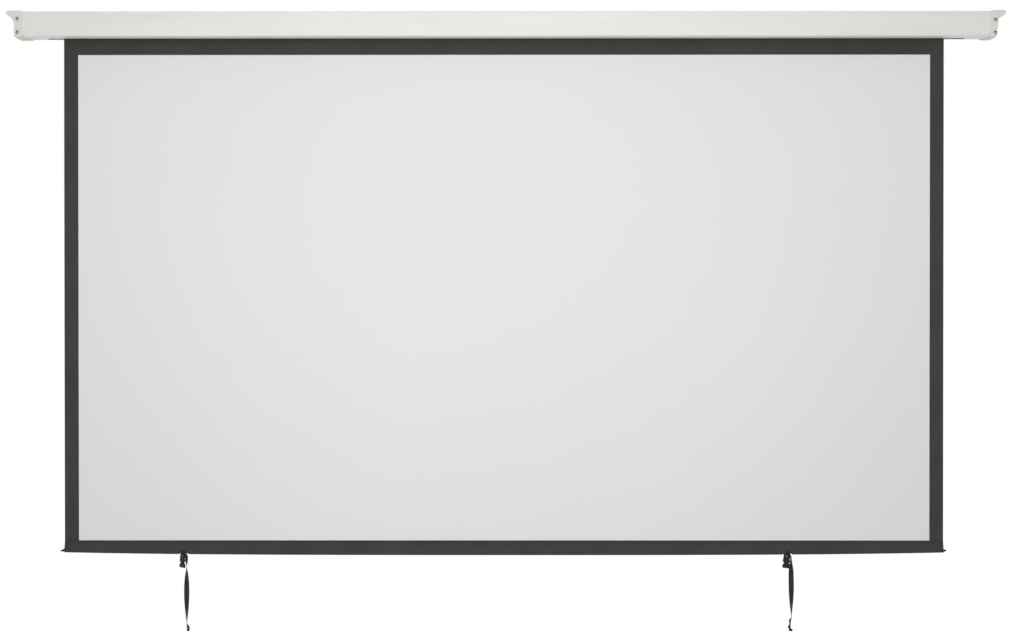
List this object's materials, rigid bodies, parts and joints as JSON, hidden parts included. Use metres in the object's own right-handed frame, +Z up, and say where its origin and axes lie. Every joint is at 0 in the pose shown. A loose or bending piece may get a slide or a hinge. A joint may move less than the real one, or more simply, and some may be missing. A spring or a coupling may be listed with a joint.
{
  "type": "motorized_projector_screen",
  "caption": "Wall or ceiling mounted projector screen: long pale casing, motor driven roller, white sheet with black borders, bowed weight bar and hanging carrying straps",
  "frame": {"origin": "centre of the casing's flat back, where it meets the wall", "axes": "+X along the casing towards the motor end, +Y out of the back into the wall, +Z up"},
  "size_m": [2.5712, 0.0635, 1.6183],
  "materials": {
    "paint": "pale grey powder coat, satin",
    "cap_plastic": "pale grey moulded plastic, fine texture",
    "steel": "zinc plated steel",
    "white_plastic": "natural white bearing plastic",
    "dark_plastic": "black moulded plastic",
    "aluminium": "drawn aluminium tube",
    "black_cloth": "black coated glass-fibre cloth",
    "white_cloth": "matte white projection coating",
    "webbing": "woven black webbing"
  },
  "bodies": {
    "casing": {"casing_shell": "paint", "left_end_cap": "cap_plastic", "right_end_cap": "cap_plastic", "left_cap_screw_upper": "steel", "left_cap_screw_lower": "steel", "right_cap_screw_upper": "steel", "right_cap_screw_lower": "steel", "left_bracket_screw_1": "steel", "left_bracket_screw_2": "steel", "right_bracket_screw_1": "steel", "right_bracket_screw_2": "steel", "idler_bracket": "steel", "motor_bracket": "steel", "idler_bearing": "white_plastic", "motor_tube": "steel", "motor_head": "dark_plastic", "motor_pin": "steel", "retaining_clip": "steel", "cable_gland": "dark_plastic"},
    "roller": {"roller_tube": "aluminium", "fabric_wrap": "black_cloth", "idler_plug": "white_plastic", "idler_pin": "steel", "motor_output_shaft": "steel", "drive_wheel": "dark_plastic", "limit_crown": "white_plastic"},
    "bar": {"weight_bar": "steel", "hem_pocket": "black_cloth", "left_bar_end": "dark_plastic", "right_bar_end": "dark_plastic", "screen_fabric": "black_cloth", "viewing_surface": "white_cloth", "left_strap_band": "webbing", "right_strap_band": "webbing"},
    "left_buckle": {"left_buckle_female": "dark_plastic"},
    "left_plug": {"left_buckle_male": "dark_plastic"},
    "right_buckle": {"right_buckle_female": "dark_plastic"},
    "right_plug": {"right_buckle_male": "dark_plastic"},
    "left_tail": {"left_strap_tail": "webbing"},
    "right_tail": {"right_strap_tail": "webbing"},
    "limit_1": {"limit_screw_1": "steel"},
    "limit_2": {"limit_screw_2": "steel"}
  },
  "joints": [
    {"name": "bar_lift", "type": "slide", "parent": "casing", "child": "bar", "axis": [0, 0, 1], "range_m": [0, 1.323], "deforming": ["screen_fabric", "viewing_surface"]},
    {"name": "roller_spin", "type": "hinge", "parent": "casing", "child": "roller", "pos_m": [0, -0.0346, 0], "axis": [1, 0, 0], "range_deg": [0, 3600]},
    {"name": "limit_1_turn", "type": "hinge", "parent": "casing", "child": "limit_1", "pos_m": [1.206, -0.0346, -0.0187], "axis": [0, 0, -1], "continuous": true},
    {"name": "limit_2_turn", "type": "hinge", "parent": "casing", "child": "limit_2", "pos_m": [1.217, -0.0346, -0.0187], "axis": [0, 0, -1], "continuous": true},
    {"name": "left_buckle_swing", "type": "hinge", "parent": "bar", "child": "left_buckle", "pos_m": [-0.8436, -0.014, -1.37329], "axis": [-0.6428, 0.766, 0], "range_deg": [-5, 75]},
    {"name": "left_buckle_release", "type": "slide", "parent": "left_buckle", "child": "left_plug", "axis": [0, 0, -1], "range_m": [0, 0.0125]},
    {"name": "left_tail_swing", "type": "hinge", "parent": "bar", "child": "left_tail", "pos_m": [-0.83145, -0.014, -1.37804], "axis": [-1, 0, 0], "range_deg": [-3, 75]},
    {"name": "right_buckle_swing", "type": "hinge", "parent": "bar", "child": "right_buckle", "pos_m": [0.7277, -0.014, -1.37408], "axis": [-0.6428, 0.766, 0], "range_deg": [-5, 75]},
    {"name": "right_buckle_release", "type": "slide", "parent": "right_buckle", "child": "right_plug", "axis": [0, 0, -1], "range_m": [0, 0.0125]},
    {"name": "right_tail_swing", "type": "hinge", "parent": "bar", "child": "right_tail", "pos_m": [0.73985, -0.014, -1.37883], "axis": [-1, 0, 0], "range_deg": [-3, 75]}
  ],
  "couplings": [
    {"joint": "roller_spin", "follows": "bar_lift", "rad_per_m": 47.2}
  ]
}
